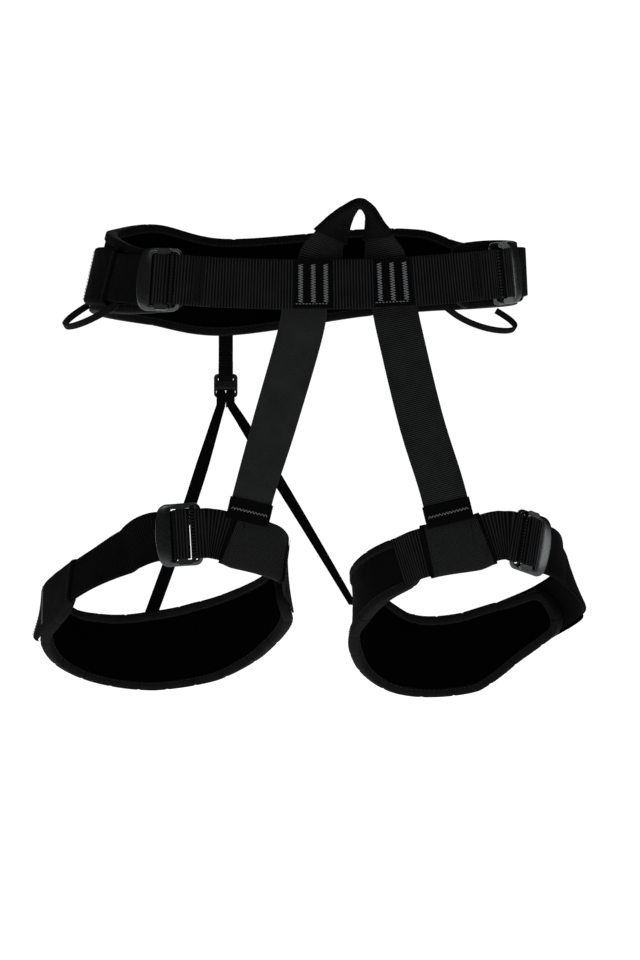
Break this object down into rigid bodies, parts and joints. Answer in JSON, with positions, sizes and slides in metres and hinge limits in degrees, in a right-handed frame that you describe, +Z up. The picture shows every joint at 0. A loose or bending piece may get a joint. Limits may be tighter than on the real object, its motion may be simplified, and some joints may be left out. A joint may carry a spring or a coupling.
{
  "type": "climbing harness",
  "caption": "Climbing sit harness: padded waist belt with webbing and double-bar buckles, twisted tie-in loop, risers, padded leg loops, gear loops and rear elastics.",
  "frame": {"origin": "centre of the waist opening, level with the middle of the front waist webbing", "axes": "+X across the front to the viewer's right, the tie-in side faces -Y, +Z up"},
  "size_m": [0.5194, 0.2108, 0.4609],
  "materials": {
    "webbing": "woven polyamide webbing, semi-matt",
    "shell": "smooth woven face cloth, semi-matt",
    "lining": "perforated mesh lining cloth, matt",
    "foam": "closed-cell foam, matt",
    "binding": "folded edge tape, matt",
    "sleeve": "coarse woven protective sleeve, matt",
    "thread": "dense zigzag stitching, matt",
    "elastic": "woven elastic band, matt",
    "alloy": "dark anodised, satin",
    "plastic": "moulded, satin"
  },
  "bodies": {
    "belt": {"waist_shell": "shell", "waist_foam": "foam", "waist_lining": "lining", "waist_binding": "binding", "hip_cover_left": "shell", "hip_cover_right": "shell", "front_webbing": "webbing", "tack_block_left": "thread", "tack_block_right": "thread", "waist_left_frame": "alloy", "waist_right_frame": "alloy", "waist_left_strap": "webbing", "waist_right_strap": "webbing", "rear_tab": "webbing", "rear_hook": "plastic"},
    "tie_in": {"tie_in_webbing": "webbing", "tie_in_guard": "sleeve"},
    "gear_left": {"gear_loop_left": "webbing"},
    "gear_right": {"gear_loop_right": "webbing"},
    "waist_slider_left": {"waist_left_slider": "alloy", "waist_left_bight": "webbing"},
    "waist_slider_right": {"waist_right_slider": "alloy", "waist_right_bight": "webbing"},
    "elastic_left": {"elastic_left": "elastic"},
    "elastic_right": {"elastic_right": "elastic"},
    "leg_left": {"riser_left": "webbing", "riser_left_band": "sleeve", "leg_left_sleeve": "sleeve", "leg_left_anchor": "webbing", "leg_left_frame": "alloy", "leg_left_strap": "webbing", "leg_left_shell": "shell", "leg_left_foam": "foam", "leg_left_lining": "lining", "leg_left_binding": "binding", "leg_left_panel": "shell"},
    "leg_slider_left": {"leg_left_slider": "alloy", "leg_left_bight": "webbing"},
    "leg_right": {"riser_right": "webbing", "riser_right_band": "sleeve", "leg_right_sleeve": "sleeve", "leg_right_anchor": "webbing", "leg_right_frame": "alloy", "leg_right_strap": "webbing", "leg_right_shell": "shell", "leg_right_foam": "foam", "leg_right_lining": "lining", "leg_right_binding": "binding", "leg_right_panel": "shell"},
    "leg_slider_right": {"leg_right_slider": "alloy", "leg_right_bight": "webbing"}
  },
  "joints": [
    {"name": "tie_in_tilt", "type": "hinge", "parent": "belt", "child": "tie_in", "pos_m": [0.041, -0.0745, -0.002], "axis": [1, 0, 0], "range_deg": [-30, 6], "stiffness_Nm_per_rad": 0.15},
    {"name": "gear_left_lift", "type": "hinge", "parent": "belt", "child": "gear_left", "pos_m": [-0.18873, -0.02696, -0.01401], "axis": [-0.3679, 0.9281, 0.0576], "range_deg": [-4, 35], "stiffness_Nm_per_rad": 0.05},
    {"name": "gear_right_lift", "type": "hinge", "parent": "belt", "child": "gear_right", "pos_m": [0.15011, -0.05558, -0.02024], "axis": [-0.7878, -0.6159, -0.0006], "range_deg": [-4, 20], "stiffness_Nm_per_rad": 0.05},
    {"name": "waist_left_slider_tilt", "type": "hinge", "parent": "belt", "child": "waist_slider_left", "pos_m": [-0.12282, -0.08192, 0.00467], "axis": [0.0675, 0.0592, 0.996], "range_deg": [0, 25]},
    {"name": "waist_right_slider_tilt", "type": "hinge", "parent": "belt", "child": "waist_slider_right", "pos_m": [0.1759, -0.04771, 0.01284], "axis": [0.1043, 0.0843, -0.991], "range_deg": [0, 25]},
    {"name": "leg_left_swing", "type": "hinge", "parent": "belt", "child": "leg_left", "pos_m": [-0.004, -0.0765, -0.024], "axis": [-1, 0, 0], "range_deg": [0, 25], "stiffness_Nm_per_rad": 0.5, "springref_deg": -34.38},
    {"name": "leg_right_swing", "type": "hinge", "parent": "belt", "child": "leg_right", "pos_m": [0.08, -0.074, -0.024], "axis": [-1, 0, 0], "range_deg": [0, 25], "stiffness_Nm_per_rad": 0.5, "springref_deg": -34.38},
    {"name": "elastic_left_swing", "type": "hinge", "parent": "belt", "child": "elastic_left", "pos_m": [-0.0846, 0.1025, -0.09325], "axis": [-1, 0, 0], "range_deg": [0, 25.5]},
    {"name": "elastic_right_swing", "type": "hinge", "parent": "belt", "child": "elastic_right", "pos_m": [-0.0754, 0.1025, -0.09325], "axis": [-1, 0, 0], "range_deg": [0, 22.5]},
    {"name": "leg_left_slider_tilt", "type": "hinge", "parent": "leg_left", "child": "leg_slider_left", "pos_m": [-0.10375, -0.0778, -0.22455], "axis": [-0.0611, 0.1083, 0.9922], "range_deg": [0, 25]},
    {"name": "leg_right_slider_tilt", "type": "hinge", "parent": "leg_right", "child": "leg_slider_right", "pos_m": [0.1966, -0.0595, -0.22988], "axis": [-0.1755, -0.289, -0.9411], "range_deg": [0, 25]}
  ],
  "couplings": [
    {"joint": "elastic_left_swing", "follows": "leg_left_swing", "ratio": 1.01},
    {"joint": "elastic_right_swing", "follows": "leg_right_swing", "ratio": 0.885}
  ]
}
